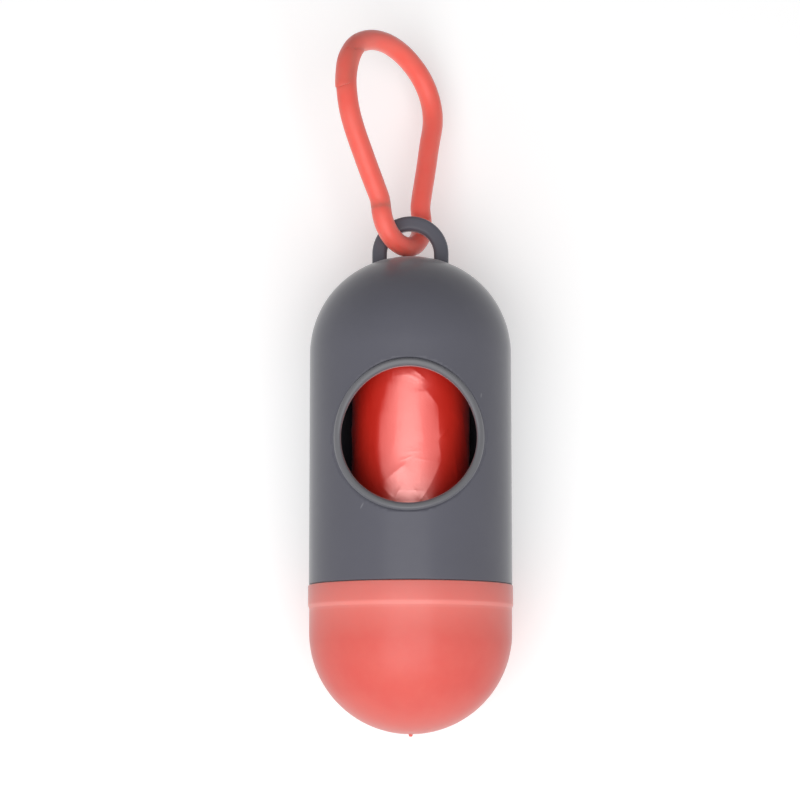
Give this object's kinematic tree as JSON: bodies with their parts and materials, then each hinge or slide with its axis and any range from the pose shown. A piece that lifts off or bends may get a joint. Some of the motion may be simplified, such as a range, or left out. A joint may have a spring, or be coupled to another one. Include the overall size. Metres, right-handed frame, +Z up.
{
  "type": "dog poop bag dispenser",
  "caption": "Capsule-shaped dispenser with a round bag window, a pull-off translucent cap, a roll of waste bags inside and a sprung plastic clip through its top eye.",
  "frame": {"origin": "centre of the arc of the hanging eye on top of the case", "axes": "+Z up along the case's axis, -Y out through the round bag window, +X to the right seen from the window's side"},
  "size_m": [0.0383, 0.0387, 0.1349],
  "materials": {
    "barrel_plastic": "satin",
    "cap_plastic": "satin, slightly translucent",
    "clip_plastic": "satin",
    "bag_film": "thin glossy film",
    "core_board": "matt"
  },
  "bodies": {
    "hook": {"clip_hook": "clip_plastic"},
    "gate": {"clip_gate": "clip_plastic"},
    "case": {"barrel": "barrel_plastic"},
    "cap": {"cap": "cap_plastic"},
    "roll": {"roll_core": "core_board", "bag_01": "bag_film", "bag_02": "bag_film", "bag_03": "bag_film", "bag_04": "bag_film", "bag_05": "bag_film", "bag_06": "bag_film", "bag_07": "bag_film", "bag_08": "bag_film", "bag_09": "bag_film", "bag_10": "bag_film", "bag_11": "bag_film", "bag_12": "bag_film", "bag_13": "bag_film", "bag_14": "bag_film", "bag_15": "bag_film"}
  },
  "joints": [
    {"name": "gate_open", "type": "hinge", "parent": "hook", "child": "gate", "pos_m": [-0.0045, -0.00328, 0.01008], "axis": [-0.7771, 0.6178, -0.1201], "range_deg": [0, 25], "stiffness_Nm_per_rad": 0.25},
    {"name": "case_swing", "type": "hinge", "parent": "hook", "child": "case", "pos_m": [0, 0, 0], "axis": [0, 1, 0], "range_deg": [-20, 5]},
    {"name": "cap_pull", "type": "slide", "parent": "case", "child": "cap", "axis": [0, 0, -1], "range_m": [0, 0.04]},
    {"name": "roll_spin", "type": "hinge", "parent": "case", "child": "roll", "pos_m": [0, 0, -0.05345], "axis": [0, 0, 1], "continuous": true}
  ]
}
